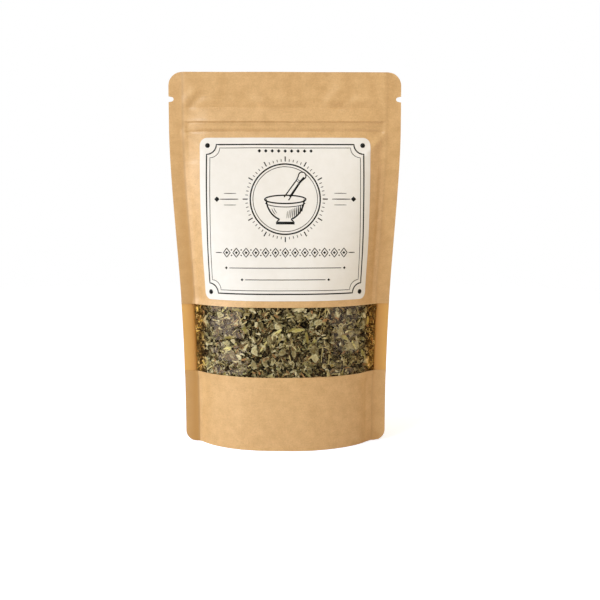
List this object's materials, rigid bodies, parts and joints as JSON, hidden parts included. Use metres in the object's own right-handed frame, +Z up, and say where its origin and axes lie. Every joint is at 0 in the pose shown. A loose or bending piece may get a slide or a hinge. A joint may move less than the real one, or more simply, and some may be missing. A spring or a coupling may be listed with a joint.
{
  "type": "filled stand-up pouch of dried leaf",
  "caption": "Kraft paper stand-up pouch filled with cut dried leaf, with a clear window strip, a press zip, tear notches and a blank-style paper label.",
  "frame": {"origin": "middle of the base, on the surface that the pouch stands on, in the plane of the side seals", "axes": "+Z up the pouch, front with its window and label towards -Y, side seals along +X and -X"},
  "size_m": [0.13, 0.0472, 0.21],
  "materials": {
    "kraft_paper": "matte",
    "window_film": "gloss",
    "zip_plastic": "satin",
    "label_paper": "matte",
    "dried_leaf": "matte"
  },
  "bodies": {
    "root": {"front_upper_panel": "kraft_paper", "front_lower_panel": "kraft_paper", "back_panel": "kraft_paper", "bottom_gusset": "kraft_paper", "window_film": "window_film", "zip_track_front": "zip_plastic", "zip_track_back": "zip_plastic", "label": "label_paper", "leaf_fill": "dried_leaf"}
  },
  "joints": []
}
